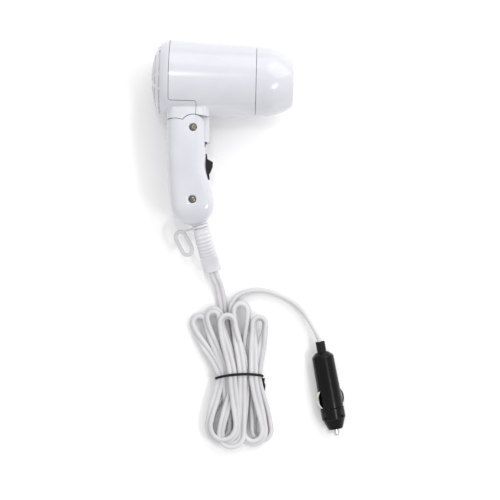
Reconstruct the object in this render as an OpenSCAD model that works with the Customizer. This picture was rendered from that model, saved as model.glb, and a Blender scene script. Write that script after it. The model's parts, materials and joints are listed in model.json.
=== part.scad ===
// Folding car hair dryer with a flat twin lead and a 12 V socket plug.
// It lies on its side: X runs along the barrel to the air outlet, Y up the handle to the barrel,
// Z up from the surface. The origin is under the middle of the dryer, without its lead.

/* [Barrel] */
// Length of the barrel, from the intake dome to the air outlet
barrel_len = 122; // [118:1:126]
// Radius of the barrel at its rear seam
rear_r = 34; // [33:0.5:35]
// Radius of the barrel at its front seam
front_r = 30.6; // [30:0.2:31.4]
// Outside radius of the air outlet
outlet_r = 21.5; // [20.5:0.5:22]
// Bore radius of the air outlet
outlet_bore_r = 19.4; // [18.4:0.1:19.4]
// Wall thickness of the barrel shells
wall = 2; // [1.8:0.1:2.1]
// Width of the visible gap between two shells
seam_gap = 0.4; // [0.3:0.1:0.5]

/* [Handle] */
// Height of the dryer, from the top of the barrel to the foot of the handle
dryer_h = 160; // [158:1:162]
// Half the thickness of the handle head and of the hinge bracket
grip_half = 22; // [21.5:0.5:22.5]
// Wall thickness of the handle shells
grip_wall = 2.4; // [2.2:0.1:2.6]
// Tilt of the switch track from the handle's length, in degrees
switch_tilt = 7.7; // [6:0.1:9]

/* [Fan and motor] */
// Radius of the motor can
motor_r = 13.8; // [13.4:0.1:13.8]
// Radius over the fan blades
fan_r = 27.3; // [26:0.1:27.6]
// Number of fan blades
fan_blades = 7; // [5:1:9]

/* [Lead] */
// Width of the flat twin lead
lead_w = 8.4; // [8:0.1:8.6]
// Thickness of the flat twin lead
lead_t = 4.2; // [4:0.1:4.4]
// Height of the bundled lead above the surface
hank_h = 19; // [17:1:21]

/* [Socket plug] */
// Length of the plug, from its boot to its centre contact
plug_len = 84; // [83.6:0.2:84.4]
// Radius of the plug's front ring, which enters the vehicle socket
plug_ring_r = 10.5; // [10.4:0.05:10.5]
// Largest radius of the plug's barrel
plug_body_r = 10.2; // [10.1:0.05:10.2]

/* [Hidden] */
$fn = 64;

// Barrel stations along X
x_rear = -barrel_len / 2;
x_end = barrel_len / 2;
x_seam = x_rear + 16;
x_front = x_end - 32;
x_nose = x_front + 7;
axis_y = dryer_h / 2 - rear_r;
mid_z = rear_r;

// Rear dome: a shallow cap that meets a rounded corner
corner_r = 15;
corner_in = rear_r - corner_r;
corner_x = x_rear + 18;
corner_h = corner_x - x_rear;
cap_r = (pow(corner_in, 2) + pow(corner_h, 2) - pow(corner_r, 2)) / (2 * (corner_h - corner_r));
cap_x = x_rear + cap_r;
cap_a = atan2(corner_in, cap_x - corner_x);
corner_a = -asin((corner_x - x_seam) / corner_r);

// Front nozzle: one arc that starts in line with the barrel's taper
taper = (rear_r - front_r) / (x_front - x_seam);
taper_a = atan(taper);
nose_d = [x_end - x_nose, outlet_r - barrel_r(x_nose)];
nose_n = [-sin(taper_a), -cos(taper_a)];
nose_r = (nose_d * nose_d) / (2 * (nose_d * nose_n));
nose_c = [x_nose, barrel_r(x_nose)] + nose_r * nose_n;
nose_a = atan2(x_end - nose_c[0], outlet_r - nose_c[1]);

// Intake slots
// Each ring of slots as its radius, width and the station it reaches
slot_rings = [[8, 2.8, -53.6], [13.4, 2.8, -53.6], [18.8, 2.8, -53.6], [24.2, 2.8, -53.6], [29.6, 1.8, -50]];
slot_ribs = 5;
rib_w = 3;
rib_start = 130;

// Hinge bracket and tongue, around the hinge screw
hinge = [-23.6, dryer_h / 2 - 76.8];
bracket_x0 = -46.4;
bracket_x1 = -10;
bracket_wall = 2.2;
bracket_edge_r = 6;
split_x = -21.5;
apron_y = 25.2;
head_r = 10.7;
head_gap = 0.6;
shoulder_y = hinge[1] + 6.1;
shoulder_gap = 0.5;
hump_at = [-39.4, -11.5];
hump_r = 21.8;
tongue_half = 15.5;
tongue_wall = 2.5;
tongue_low_y = hinge[1] - 11.5;
tongue_back_r = 13;
sleeve_r = 5.5;
running = 0.05;

// Handle outline
grip_x0 = -46.7;
grip_x1 = -12.6;
foot_r = 18.9;
foot_y = -dryer_h / 2 + foot_r;
foot_x = -23.1;
foot_half = 19;
grip_top_y = 16;
front_wall_y = hinge[1] - 16.1;
low_screw = [-22.9, -57.9];
boss_r = 3.6;
clamp_screw_x = [-29, -12.8];
clamp_screw_y = -67;
screw_r = 1.5;
head_screw_r = 3.4;

// Switch, in a frame on the handle's front face
switch_at = [-11.2, -29];
slot_half = 10.2;
knob_half = 4;

// Cord sleeve and hanging loop
sleeve_at = [-17.4, -76.5];
sleeve_turn = 16.5;
sleeve_end = 45;
rib_from = 6;
rib_to = 28;
rib_pitch = 2.75;
sleeve_drop = 24;
neck_r = 5.2;
loop_droop = 35;
loop_tilt = 17;

// Centre line of the lead, from the cord sleeve to the bundle
exit_route = [
    [-4.6, -119.7, 10], [-2.4, -125.5, 9], [0, -131, 6.6], [1.8, -137, 4.4],
    [3.2, -143.5, 3.2], [4.4, -150, 2.8], [5.2, -157, 2.8]
];
// Centre line of the lead, from the bundle to the socket plug
lead_route = [
    [11.6, -153.5, 6], [12.8, -147, 5.6], [17.2, -140.6, 5], [27, -136.4, 4.5],
    [38.8, -135.4, 4.4], [51.2, -138, 4.5], [65.2, -144.4, 5], [76.6, -154.6, 6.6],
    [84, -165.4, 8.6], [88.4, -173, 10], [90.9, -179, 10.5]
];
hank_waist = [1, 40];
hank_waist_z = [1.8, 15.6];
tie_y = -215.2;
tie_w = 2.4;

// Socket plug, along its own axis
plug_at = [90.9, -179, plug_ring_r];
plug_turn = 11.67;
plug_roll = -24;
boot_len = 9.5;
shoulder_t = 13;
ring_t = 59.4;
nose_t = ring_t + 9.6;
nose_end_t = 78;
tip_r = 2.7;
fuse_t = 38.1;
fuse_len = 31.8;
fuse_r = 3.2;
leaf_t = [42.6, 58.8];
leaf_bulge = 12.9;

// Motor stations along X
can_x0 = -38;
can_x1 = -9;
bush_r = 2.6;
shaft_r = 1;

function ease(t) = let (s = min(1, max(0, t))) s * s * (3 - 2 * s);
function barrel_r(x) = rear_r - taper * (max(x, x_seam) - x_seam);
function arc(c, r, a0, a1, steps) =
    [for (i = [0:steps]) let (a = a0 + (a1 - a0) * i / steps) [c[0] + r * sin(a), c[1] + r * cos(a)]];
function power(v, n) = sign(v) * pow(abs(v), 2 / n);
function oval(a, b, n, sides) =
    [for (i = [0:sides - 1]) let (w = 360 * i / sides) [a * power(cos(w), n), b * power(sin(w), n)]];
function unit(v) = v / norm(v);

// Dome profile as [radius, x], from the axis to the side wall, set in by an inset
function dome_profile(inset) = concat(
    [for (p = arc([cap_x, 0], -(cap_r - inset), 90, 90 - cap_a, 10)) [-p[1], p[0]]],
    [for (p = arc([corner_x, corner_in], corner_r - inset, cap_a - 90, corner_a, 10)) [p[1], p[0]]]
);
// Nozzle profile as [radius, x], from the front seam to the outlet, set in by an inset
function nozzle_profile(inset) = concat(
    [[barrel_r(x_front) - inset, x_front + seam_gap / 2]],
    [for (p = arc(nose_c, nose_r - inset, taper_a, nose_a, 14)) [p[1], p[0]]]
);

// Handle outline: left and right edges and half thickness at a height y
function grip_left(y) = grip_x0 + 4.7 * pow((shoulder_y - y) / (shoulder_y - foot_y), 2);
function grip_right(y) = grip_x1 + 8.5 * ease((-27 - y) / 36);
function grip_deep(y) = grip_half - (grip_half - foot_half) * ease((-10 - y) / 55);
function grip_ring(y, inset, sides) =
    let (
        low = y < foot_y,
        f = low ? sqrt(max(0.004, 1 - pow((foot_y - y) / (foot_r - inset), 2))) : 1,
        x0 = low ? foot_x - (foot_r - inset) * f : grip_left(y) + inset,
        x1 = low ? foot_x + (foot_r - inset) * f : grip_right(y) - inset,
        b = low ? (foot_half - inset) * pow(f, 0.9) : grip_deep(y) - inset
    )
    [for (p = oval((x1 - x0) / 2, b, low ? 4.5 - 1.6 * (1 - f) : 4.5, sides))
        [(x0 + x1) / 2 + p[0], y, mid_z + p[1]]];
function grip_rings(inset, sides, steps, foot_steps) = concat(
    [for (i = [0:steps]) grip_ring(grip_top_y + (foot_y - grip_top_y) * i / steps, inset, sides)],
    [for (i = [1:foot_steps]) grip_ring(foot_y - (foot_r - inset) * sin(88 * i / foot_steps), inset, sides)]
);

// Cord sleeve: half width and half height at a distance s, and its centre's drop
function rib(s) = 0.5 - 0.5 * cos(360 * (s - rib_from) / rib_pitch);
function sleeve_drop_at(s) = -sleeve_drop * ease((s - 8) / 38);
function sleeve_half(s) =
    s < 3.2 ? [7, 6] :
    s < 5.9 ? [neck_r, neck_r] :
    s < rib_to ? let (g = (s - rib_from) / 22) [6.2 + 0.5 * g + 0.9 * rib(s), 4.8 + 0.1 * g + 0.8 * rib(s)] :
    let (e = min((s - rib_to) / 1.2, (sleeve_end - s) / 1.2, 1)) [6.9 + 0.9 * e, 4.8 + 0.6 * e];
function sleeve_ring(s) =
    let (h = sleeve_half(s), t = atan((sleeve_drop_at(s + 0.1) - sleeve_drop_at(s - 0.1)) / 0.2))
    [for (p = oval(h[0], h[1], s > 3.2 && s < 5.9 ? 2 : 3.4, 16))
        [p[0], sleeve_drop_at(s) + p[1] * cos(t), s - p[1] * sin(t)]];

// A closed solid through rings of equal length
module skin(rings) {
    n = len(rings[0]);
    m = len(rings);
    faces = concat(
        [[for (i = [0:n - 1]) i]],
        [for (j = [0:m - 2], i = [0:n - 1]) let (k = (i + 1) % n) [(j + 1) * n + k, j * n + k, j * n + i]],
        [for (j = [0:m - 2], i = [0:n - 1]) let (k = (i + 1) % n) [(j + 1) * n + i, (j + 1) * n + k, j * n + i]],
        [[for (i = [n - 1:-1:0]) (m - 1) * n + i]]
    );
    polyhedron([for (r = rings) each r], faces, convexity = 10);
}

// A tube of oval section swept along a route, with a roll angle at its start and its end
module swept(route, half_w, half_t, roll0, roll1, sides, n = 2.2) {
    m = len(route);
    skin([for (j = [0:m - 1])
        let (
            t = unit(route[min(j + 1, m - 1)] - route[max(j - 1, 0)]),
            across = unit(cross([0, 0, 1], t)),
            up = cross(t, across),
            roll = roll0 + (roll1 - roll0) * ease(j / (m - 1)),
            u = across * cos(roll) + up * sin(roll),
            v = up * cos(roll) - across * sin(roll)
        )
        [for (p = oval(half_w, half_t, n, sides)) route[j] + u * p[0] + v * p[1]]
    ]);
}

module along_barrel() translate([0, axis_y, mid_z]) rotate([0, 90, 0]) children();
module along_plug() translate(plug_at) rotate([90, 0, plug_turn]) children();
module along_sleeve() translate([sleeve_at[0], sleeve_at[1], mid_z]) rotate([90, 0, sleeve_turn]) children();
module at_switch() translate([switch_at[0], switch_at[1], mid_z]) rotate([0, 0, switch_tilt]) children();
module at_hinge() translate([hinge[0], hinge[1], mid_z]) children();

// A tube along Z between two heights
module ring(ro, ri, z0, z1) {
    rotate_extrude()
        translate([ri, z0])
            square([ro - ri, z1 - z0]);
}

// ---- Barrel shells ----

module barrel_wall() {
    along_barrel()
        rotate_extrude($fn = 96)
            polygon(concat(
                dome_profile(0),
                [[rear_r, x_seam], [barrel_r(x_front), x_front]],
                [[barrel_r(x_front) - wall, x_front]],
                [for (i = [len(dome_profile(wall)) - 1:-1:0]) dome_profile(wall)[i]]
            ));
}

module barrel_core() {
    along_barrel()
        translate([0, 0, x_seam - 3])
            cylinder(r1 = rear_r - wall, r2 = barrel_r(x_front + 3) - wall, h = x_front - x_seam + 6, $fn = 96);
}

// Rounded rectangle in X and Z, drawn up the handle's length between two heights
module upright(x0, x1, half, r, y0, y1) {
    translate([0, y1, mid_z])
        rotate([90, 0, 0])
            linear_extrude(y1 - y0) {
                translate([x0 + r, -half])
                    square([x1 - x0 - 2 * r, 2 * half]);
                translate([x0, -half + r])
                    square([x1 - x0, 2 * half - 2 * r]);
                for (x = [x0 + r, x1 - r], z = [-half + r, half - r])
                    translate([x, z])
                        circle(r);
            }
}

// Where the handle's head and shoulder swing, in plan
module head_clearance() {
    translate(hinge)
        circle(head_r + head_gap);
    translate(hump_at)
        circle(hump_r + shoulder_gap);
    translate([bracket_x0 - 5, tongue_low_y - 10])
        square([hinge[0] - bracket_x0 + 5, shoulder_y + shoulder_gap - tongue_low_y + 10]);
    polygon([
        hinge, hinge + [0, head_r + head_gap], hinge + [20, head_r + head_gap - 2.6],
        [hinge[0] + 20, tongue_low_y - 10], [hinge[0] - 1, tongue_low_y - 10]
    ]);
}

module bracket_wall() {
    difference() {
        upright(bracket_x0, bracket_x1, grip_half, bracket_edge_r, tongue_low_y - 5, axis_y - 14);
        upright(bracket_x0 + bracket_wall, bracket_x1 - bracket_wall, grip_half - bracket_wall,
            bracket_edge_r - bracket_wall, tongue_low_y - 10, axis_y);
        translate([0, 0, mid_z - grip_half - 1])
            linear_extrude(2 * grip_half + 2)
                head_clearance();
        barrel_core();
    }
}

module tongue() {
    difference() {
        for (side = [0, 1])
            translate([0, 0, mid_z - tongue_half + side * (2 * tongue_half - tongue_wall)])
                linear_extrude(tongue_wall)
                    difference() {
                        union() {
                            translate(hinge)
                                circle(tongue_back_r);
                            translate([hinge[0], tongue_low_y])
                                square([bracket_x1 - hinge[0] - 1, hinge[1] + 16 - tongue_low_y]);
                            translate([split_x + seam_gap, hinge[1]])
                                square([bracket_x1 - split_x - 1, 20]);
                        }
                        translate([hinge[0] - 20, shoulder_y + 4])
                            square([split_x + seam_gap - hinge[0] + 20, 20]);
                    }
        translate([hinge[0], hinge[1], mid_z - tongue_half - 1])
            cylinder(r = sleeve_r + running, h = 2 * tongue_half + 2);
        barrel_core();
    }
    difference() {
        translate([bracket_x1 - 2.2, tongue_low_y, mid_z - tongue_half])
            cube([2.2, hinge[1] + 18 - tongue_low_y, 2 * tongue_half]);
        barrel_core();
    }
}

module main_housing() {
    color("white") {
        difference() {
            union() {
                intersection() {
                    barrel_wall();
                    translate([x_seam + seam_gap / 2, axis_y - 50, -20])
                        cube([x_front - x_seam - seam_gap, 100, 120]);
                }
                bracket_wall();
            }
            translate([-100, -50, -50])
                cube([100 + split_x + seam_gap / 2, 50 + apron_y + seam_gap / 2, 200]);
            translate([-19, 5, mid_z - 7])
                cube([6, 22, 14]);
        }
        tongue();
    }
}

module rear_housing() {
    color("white")
        difference() {
            union() {
                intersection() {
                    union() {
                        barrel_wall();
                        bracket_wall();
                    }
                    union() {
                        translate([x_rear - 5, axis_y - 50, -20])
                            cube([x_seam - seam_gap / 2 - x_rear + 5, 100, 120]);
                        translate([x_rear - 5, -50, -20])
                            cube([split_x - seam_gap / 2 - x_rear + 5, 50 + apron_y - seam_gap / 2, 120]);
                    }
                }
                along_barrel() {
                    ring(rear_r - wall - 0.4, rear_r - wall - 1.8, x_seam - 3, x_seam + 3);
                    ring(rear_r - wall + 0.5, rear_r - wall - 1.8, x_seam - 3, x_seam - 1.4);
                }
            }
            along_barrel()
                for (s = slot_rings, k = [0:slot_ribs - 1])
                    rotate([0, 0, rib_start + 360 * k / slot_ribs + 90 * rib_w / (PI * s[0])])
                        rotate_extrude(angle = 360 / slot_ribs - 180 * rib_w / (PI * s[0]))
                            translate([s[0] - s[1] / 2, x_rear - 2])
                                square([s[1], s[2] - x_rear + 2]);
        }
}

module front_nozzle() {
    color("white")
        along_barrel() {
            rotate_extrude($fn = 96)
                polygon(concat(
                    nozzle_profile(0),
                    [[outlet_bore_r, x_end], [outlet_bore_r, x_end - 9], [outlet_bore_r + 1.6, x_end - 9]],
                    [[outlet_bore_r + 1.6, x_end - 3]],
                    [for (i = [len(nozzle_profile(wall)) - 2:-1:0]) nozzle_profile(wall)[i]]
                ));
            ring(barrel_r(x_front) - wall - 0.3, barrel_r(x_front) - wall - 1.8, x_front - 4, x_front + 3);
            ring(barrel_r(x_front) - wall + 0.3, barrel_r(x_front) - wall - 1.8, x_front + 1, x_front + 3);
        }
}

module outlet_grille() {
    color("dimgray")
        along_barrel() {
            for (r = [[24.4, 21.8], [16, 14.6], [9, 7.6]])
                ring(r[0], r[1], x_end - 12.9, x_end - 9.9);
            for (k = [0:2])
                rotate([0, 0, 60 * k + 30])
                    translate([-22.5, -0.7, x_end - 12.8])
                        cube([45, 1.4, 2.8]);
            translate([0, 0, x_end - 12.9])
                cylinder(r = 2.6, h = 3);
        }
}

module intake_screen() {
    color("silver")
        along_barrel() {
            ring(25, 23.4, -53.6, -52.8);
            intersection() {
                translate([0, 0, -54])
                    cylinder(r = 23.6, h = 2);
                union()
                    for (i = [-5:5]) {
                        translate([4.2 * i - 0.25, -25, -53.6])
                            cube([0.5, 50, 0.4]);
                        translate([-25, 4.2 * i - 0.25, -53.25])
                            cube([50, 0.5, 0.4]);
                    }
            }
        }
}

// ---- Heater ----

module heater_tube() {
    color("burlywood")
        along_barrel()
            ring(25.4, 24.8, -13, 45);
}

module heater_frame() {
    color("tan")
        along_barrel() {
            translate([-22.7, -0.5, -3])
                cube([45.4, 1, 46]);
            translate([-0.5, -22.7, -3])
                cube([1, 45.4, 46]);
        }
}

module heating_coil() {
    coil_r = 23.9;
    ribbon = 0.9;
    coil_step = 5;
    coils = 8;
    color("silver")
        along_barrel() {
            for (i = [0:coils - 1])
                ring(coil_r, coil_r - ribbon, 2 + coil_step * i, 2.9 + coil_step * i);
            for (i = [0:coils - 2])
                rotate([0, 0, i % 2 == 0 ? 45 : 225])
                    translate([coil_r - 0.8, -0.5, 2.5 + coil_step * i])
                        cube([0.6, 1, coil_step]);
        }
}

module thermostat() {
    color("gainsboro")
        translate([30, axis_y + 0.8, mid_z + 4])
            cube([10, 4, 8]);
}

module thermal_fuse() {
    color("silver")
        translate([26, axis_y + 2.8, mid_z - 8])
            rotate([0, 90, 0]) {
                cylinder(r = 0.4, h = 16, $fn = 16);
                translate([0, 0, 3])
                    cylinder(r = 1.7, h = 10, $fn = 32);
            }
}

// ---- Motor and fan ----

// A sleeve round the motor, held by vanes that also straighten the fan's swirl
module motor_holder() {
    vanes = 7;
    vane_w = 1.6;
    color("ivory")
        along_barrel() {
            ring(motor_r + 1.7, motor_r + 0.1, can_x0 + 2, -12);
            ring(30, 28.4, can_x0 + 2, -22);
            ring(24.6, 23.2, -13, -7);
            for (k = [0:vanes - 1])
                rotate([90, 0, 360 * (k + 0.5) / vanes - 90])
                    translate([0, 0, -vane_w / 2])
                        linear_extrude(vane_w)
                            polygon([
                                [motor_r + 0.9, can_x0 + 2.6], [29.2, can_x0 + 2.6], [29.2, -23],
                                [23.9, -21], [23.9, -10], [motor_r + 0.9, -14]
                            ]);
        }
}

module motor_can() {
    color("silver")
        along_barrel()
            rotate_extrude()
                polygon([
                    [bush_r + 0.02, can_x0 - 2], [3.8, can_x0 - 2], [3.8, can_x0], [motor_r, can_x0],
                    [motor_r, can_x1], [motor_r - 0.8, can_x1], [motor_r - 0.8, can_x0 + 0.9],
                    [bush_r + 0.02, can_x0 + 0.9]
                ]);
}

module motor_end_cap() {
    color("ivory")
        along_barrel()
            rotate_extrude()
                polygon([
                    [bush_r + 0.02, can_x1 - 2], [motor_r - 0.9, can_x1 - 2], [motor_r - 0.9, can_x1],
                    [motor_r, can_x1], [motor_r, can_x1 + 2.5], [3.8, can_x1 + 2.5],
                    [3.8, can_x1 + 4], [bush_r + 0.02, can_x1 + 4]
                ]);
}

module motor_magnets() {
    magnet_r = 11.2;
    color("dimgray")
        along_barrel()
            for (a = [0, 180])
                rotate([0, 0, a - 60])
                    rotate_extrude(angle = 120)
                        translate([magnet_r, can_x0 + 4])
                            square([motor_r - 0.9 - magnet_r, 20]);
}

module motor_bearings() {
    color("goldenrod")
        along_barrel() {
            ring(bush_r, shaft_r + 0.04, can_x0 - 1.8, can_x0 + 0.8);
            ring(bush_r, shaft_r + 0.04, can_x1 - 1, can_x1 + 3.8);
        }
}

module motor_brushes() {
    color("goldenrod")
        for (side = [-1, 1])
            translate([-14.6, axis_y + side * 6.1 - 2.6, mid_z - 1.2])
                cube([can_x1 - 2 + 14.6, 5.2, 2.4]);
}

module motor_terminals() {
    color("goldenrod")
        for (side = [-1, 1])
            translate([can_x1 + 2.5, axis_y - 8.6, mid_z + side * 5 - 1])
                cube([3.2, 0.8, 2]);
}

module motor_shaft() {
    color("silver")
        along_barrel()
            translate([0, 0, -51.4])
                cylinder(r = shaft_r, h = 47.6);
}

module armature() {
    core_r = 10.6;
    color("sienna")
        along_barrel()
            translate([0, 0, -32])
                linear_extrude(15)
                    difference() {
                        circle(core_r);
                        circle(shaft_r + 0.02);
                        for (k = [0:2])
                            rotate(120 * k) {
                                translate([3.6, -1])
                                    square([8, 2]);
                                translate([4.4, -3])
                                    square([4, 6]);
                            }
                    }
}

module commutator() {
    color("peru")
        along_barrel()
            ring(3.3, shaft_r + 0.02, -16, -11.8);
}

module fan_impeller() {
    hub_r = 9.5;
    color("ivory")
        along_barrel() {
            ring(hub_r, shaft_r + 0.02, -51, -42);
            intersection() {
                ring(fan_r, hub_r - 0.8, -50.6, -42.4);
                union()
                    for (k = [0:fan_blades - 1])
                        rotate([0, 0, 360 * k / fan_blades])
                            translate([hub_r - 1, 0, -46.5])
                                rotate([40, 0, 0])
                                    translate([0, -0.7, -9])
                                        cube([fan_r, 1.4, 18]);
            }
        }
}

module barrel_wires() {
    color("firebrick")
        for (side = [-1, 1])
            swept([
                [-16, 8.5, mid_z + 5 * side], [-16, 17, mid_z + 5 * side],
                [-14.5, 23.5, mid_z + 5 * side], [-8.5, 27, mid_z + 5 * side],
                [-5.2, 30.5, mid_z + 5 * side], [-4.8, 37, mid_z + 5 * side]
            ], 1, 1, 0, 0, 8);
}

// ---- Handle ----

module head_zone() {
    translate(hinge)
        circle(head_r);
    translate(hump_at)
        circle(hump_r);
    translate([-80, -120])
        square([80 + hinge[0], 120 + shoulder_y]);
    translate([hinge[0] - 0.5, -120])
        square([40, 120 + hinge[1]]);
}

module grip_shell() {
    difference() {
        intersection() {
            skin(grip_rings(0, 32, 12, 6));
            linear_extrude(100)
                head_zone();
        }
        difference() {
            translate([0, 0.6, 0])
                skin(grip_rings(grip_wall, 16, 7, 4));
            translate([hinge[0], hinge[1], -1])
                cylinder(r = 9.4, h = mid_z - tongue_half + 0.6, $fn = 24);
            translate([hinge[0], hinge[1], mid_z + tongue_half + 0.4])
                cylinder(r = 9.4, h = 40, $fn = 24);
            translate([low_screw[0], low_screw[1], 0])
                cylinder(r = boss_r, h = 90, $fn = 20);
            for (x = clamp_screw_x)
                translate([x, clamp_screw_y, 0])
                    cylinder(r = 2.8, h = mid_z, $fn = 16);
        }
        translate([-17, front_wall_y, mid_z - tongue_half - 0.4])
            cube([20, 60, 2 * tongue_half + 0.8]);
        at_switch()
            translate([-12, -slot_half - 0.9, -6.3])
                cube([30, 2 * slot_half + 1.8, 12.6]);
        along_sleeve()
            translate([-7.2, -6.2, -14])
                cube([14.4, 12.4, 30]);
    }
}

module shell_half(z0, z1) {
    intersection() {
        grip_shell();
        translate([-100, -100, z0])
            cube([200, 200, z1 - z0]);
    }
}

module handle_shell_upper() {
    color("white")
        resize([0, 0, 0])
            difference() {
                shell_half(mid_z + 0.15, 100);
                for (p = [hinge, low_screw])
                    translate([p[0], p[1], 0]) {
                        cylinder(r = screw_r + 0.2, h = 100, $fn = 16);
                        translate([0, 0, mid_z + (p == hinge ? grip_half : grip_deep(p[1])) - 2.2])
                            cylinder(r = head_screw_r + 0.4, h = 20, $fn = 28);
                    }
                for (x = clamp_screw_x)
                    translate([x, clamp_screw_y, mid_z])
                        cylinder(r = 3.4, h = 12, $fn = 16);
            }
}

module handle_shell_lower() {
    color("white")
        resize([0, 0, 0])
            difference() {
                shell_half(-20, mid_z - 0.15);
                for (p = [hinge, low_screw])
                    translate([p[0], p[1], mid_z - grip_half + 3])
                        cylinder(r = screw_r + 0.2, h = 100, $fn = 16);
                for (x = clamp_screw_x)
                    translate([x, clamp_screw_y, 24])
                        cylinder(r = 1.2, h = 50, $fn = 16);
            }
}

module hinge_sleeve() {
    color("silver")
        at_hinge()
            ring(sleeve_r, screw_r + 0.1, -tongue_half - 0.3, tongue_half + 0.3);
}

module hinge_washers() {
    color("ivory")
        at_hinge()
            for (side = [-1, 1])
                translate([0, 0, side * (tongue_half + 0.2)])
                    ring(9, sleeve_r + 0.2, -0.12, 0.12);
}

// A pan head screw that points down, with a cross recess
module screw(shank, head, length) {
    difference() {
        union() {
            translate([0, 0, -length])
                cylinder(r = shank, h = length, $fn = 32);
            cylinder(r1 = head, r2 = head * 0.94, h = 1.5, $fn = 48);
        }
        for (a = [0, 90])
            rotate([0, 0, a])
                translate([-head * 0.55, -0.4, 0.5])
                    cube([head * 1.1, 0.8, 2]);
    }
}

module hinge_screw() {
    color("rosybrown")
        translate([hinge[0], hinge[1], mid_z + grip_half - 2.1])
            screw(screw_r, head_screw_r, 36);
}

module handle_screw() {
    color("rosybrown")
        translate([low_screw[0], low_screw[1], mid_z + grip_deep(low_screw[1]) - 2.1])
            screw(screw_r, head_screw_r, 30);
}

// ---- Switch ----

module switch_bezel() {
    color("black")
        at_switch()
            difference() {
                translate([-3.9, -slot_half - 0.8, -6.2])
                    cube([4.6, 2 * slot_half + 1.6, 12.4]);
                translate([-5, -slot_half, -knob_half - 0.3])
                    cube([8, 2 * slot_half, 2 * knob_half + 0.6]);
            }
}

module switch_body() {
    color("dimgray")
        at_switch()
            difference() {
                translate([-17, -10.5, -6.5])
                    cube([11.8, 21, 13]);
                translate([-9.2, -5.4, -2])
                    cube([5, 10.8, 4]);
            }
}

module switch_knob() {
    color("black")
        at_switch() {
            translate([0, 0, -knob_half])
                linear_extrude(2 * knob_half)
                    polygon([[-4.1, 6.3], [1.1, 6.3], [5.2, 3.4], [4.5, 0.3], [0.95, -6.5], [-4.1, -6.5]]);
            for (k = [0:3])
                translate([4 - 0.9 * k, -0.6 - 1.6 * k, -knob_half])
                    cylinder(r = 0.5, h = 2 * knob_half, $fn = 24);
            translate([-5, -8, -5.8])
                cube([0.95, 16, 11.6]);
            translate([-8.6, -1.6, -1.6])
                cube([4, 3.2, 3.2]);
        }
}

module switch_terminals() {
    color("goldenrod")
        at_switch()
            for (y = [-8, 0, 8])
                translate([-20.4, y - 1.2, -0.4])
                    cube([3.4, 2.4, 0.8]);
}

module handle_wires() {
    color("firebrick")
        for (side = [-1, 1]) {
            swept([
                [-19.4, -70.4, mid_z + 2.2 * side], [-20.6, -66.5, mid_z + 2.2 * side],
                [-25, -63.6, mid_z + 2.2 * side], [-31, -61, mid_z + 2.2 * side],
                [-34, -56, mid_z + 2.2 * side], [-34, -40, mid_z + 2.2 * side]
            ], 1.1, 1.1, 0, 0, 8);
            swept([
                [-35, -24, mid_z + 2.2 * side], [-37.4, -16, mid_z + 2.2 * side],
                [-37.6, -8, mid_z + 2.2 * side], [-34, 1, mid_z + 2.2 * side]
            ], 1.1, 1.1, 0, 0, 8);
        }
}

module cord_clamp() {
    color("ivory")
        difference() {
            translate([-32, -69.2, mid_z + 3.6])
                cube([22.2, 4.4, 2.6]);
            for (x = clamp_screw_x)
                translate([x, clamp_screw_y, mid_z])
                    cylinder(r = 1.3, h = 12, $fn = 24);
        }
}

module clamp_screws() {
    color("silver")
        for (x = clamp_screw_x)
            translate([x, clamp_screw_y, mid_z + 6.3])
                screw(1.1, 2.4, 14);
}

// ---- Cord sleeve, lead and tie ----

module cord_sleeve() {
    stations = concat(
        [-3.8, -1, 1, 3.1, 3.3, 5.8, 6],
        [for (i = [1:32]) rib_from + rib_pitch * i / 4],
        [28.4, 29.2, 36, 43.8, 44.5, 44.9]
    );
    color("white")
        along_sleeve()
            skin([for (s = stations) sleeve_ring(s)]);
}

module hanging_loop() {
    loop_w = 14.5;
    loop_l = 25.5;
    loop_t = 3;
    band = 3.3;
    loop_at = [-22, 14.6];
    ring_s = 4.55;
    color("white")
        along_sleeve() {
            ring(7.4, neck_r + 0.3, ring_s - 1.1, ring_s + 1.1);
            rotate([0, 0, loop_droop])
                rotate([90, 0, 0])
                    translate([0, 0, -loop_t / 2])
                        linear_extrude(loop_t) {
                            translate([-20.4, ring_s - 0.9])
                                square([14, 1.8]);
                            difference() {
                                loop_outline(loop_at, loop_w, loop_l);
                                loop_outline(loop_at, loop_w - 2 * band, loop_l - 2 * band);
                            }
                        }
        }
}

module loop_outline(at, w, l) {
    translate(at)
        rotate(-loop_tilt) {
            square([w, l - w], center = true);
            for (side = [-1, 1])
                translate([0, side * (l - w) / 2])
                    circle(w / 2);
        }
}

module cord_exit() {
    color("lavender")
        swept(exit_route, lead_w / 2, lead_t / 2, 0, 0, 10);
}

module cord_lead() {
    color("lavender")
        swept(lead_route, lead_w / 2, lead_t / 2, 90, 90, 10);
}

// The bundle's upper and lower loops in plan
module hank_top() {
    polygon([[-23, -165], [44, -167], [40, -203], [hank_waist[1], -212], [hank_waist[0], -212], [1, -203]]);
    for (p = [[-15.5, -162], [-3, -160], [9.5, -163], [36, -166]])
        translate(p)
            circle(8.2);
    translate([11.8, -172])
        square([16.4, 21]);
    translate([20, -151])
        circle(8.2);
}

module hank_foot() {
    polygon([[hank_waist[0], -218], [hank_waist[1], -218], [40, -226], [50, -256], [44, -268], [0, -270], [-8, -262]]);
    for (p = [[0, -262], [14, -268.5], [28, -265], [42, -261]])
        translate(p)
            circle(9);
}

module cord_hank() {
    color("lavender") {
        linear_extrude(hank_h)
            hank_top();
        linear_extrude(hank_h)
            hank_foot();
        translate([hank_waist[0], -220, hank_waist_z[0]])
            cube([hank_waist[1] - hank_waist[0], 10, hank_waist_z[1] - hank_waist_z[0]]);
    }
}

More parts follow.
